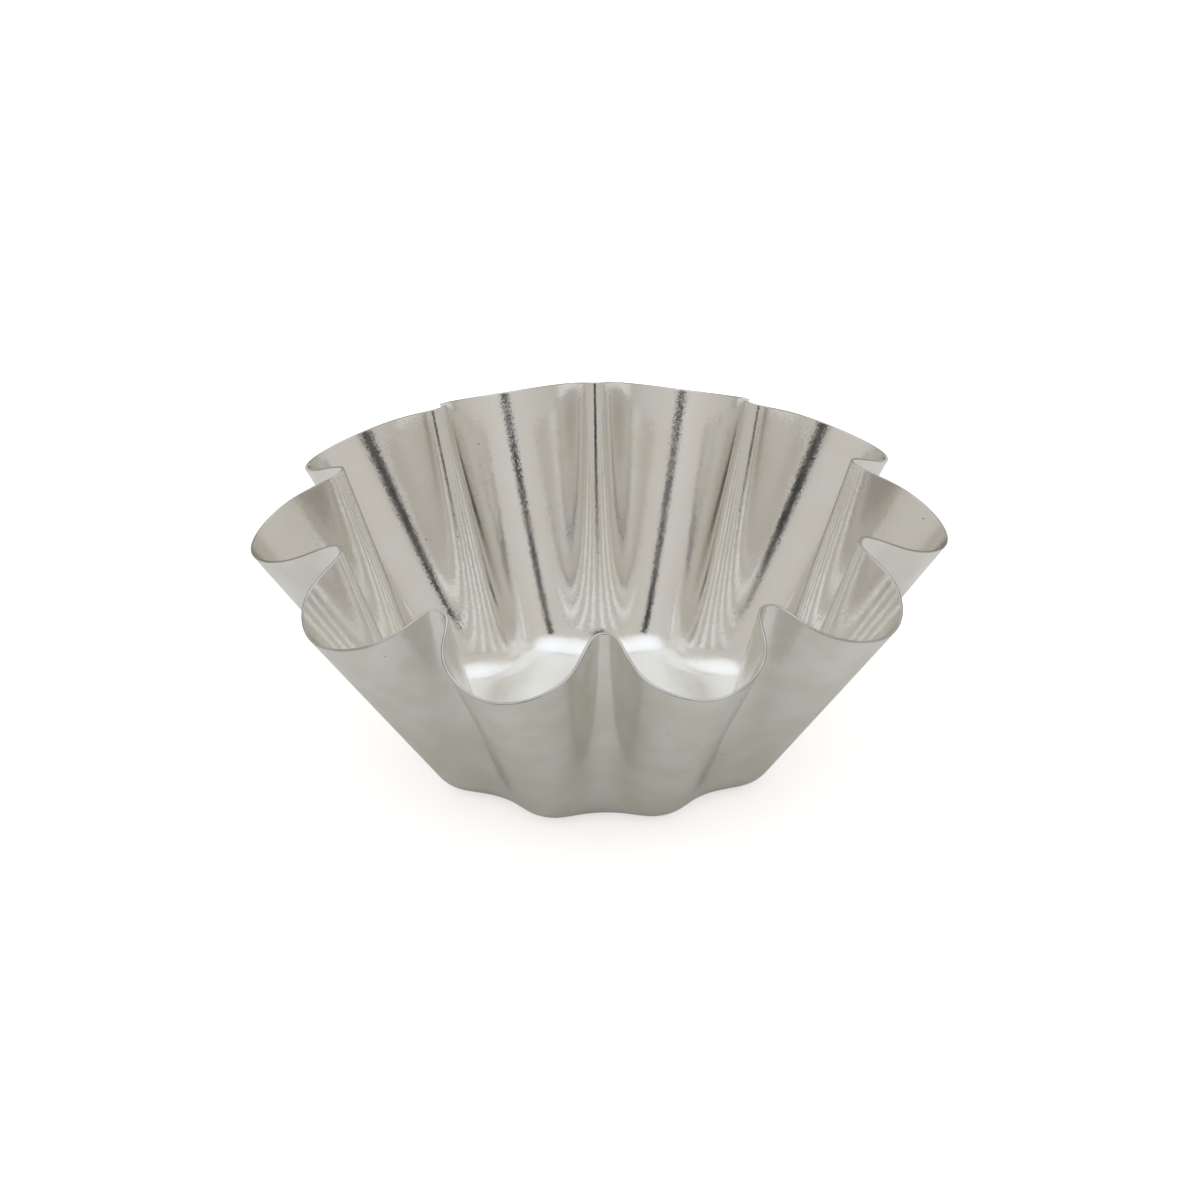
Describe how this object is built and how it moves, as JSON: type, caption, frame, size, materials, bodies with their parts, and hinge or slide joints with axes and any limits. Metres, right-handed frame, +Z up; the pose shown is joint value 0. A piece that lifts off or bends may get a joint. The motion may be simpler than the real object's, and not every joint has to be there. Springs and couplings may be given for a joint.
{
  "type": "brioche mould",
  "caption": "Fluted brioche mould pressed from bright tinplate, with a flat floor, flaring lobed walls and a plain wavy edge, for baking small brioches.",
  "frame": {"origin": "middle of the underside of the floor, where the mould rests", "axes": "+Z up along the mould's axis, +X through the middle of a lobe, -Y through the valley that faces the camera"},
  "size_m": [0.08, 0.0768, 0.0301],
  "materials": {
    "tinplate": "bright tinplate, half mirror with a fine grain and faint draw lines along the flutes"
  },
  "bodies": {
    "root": {"mould_shell": "tinplate"}
  },
  "joints": []
}
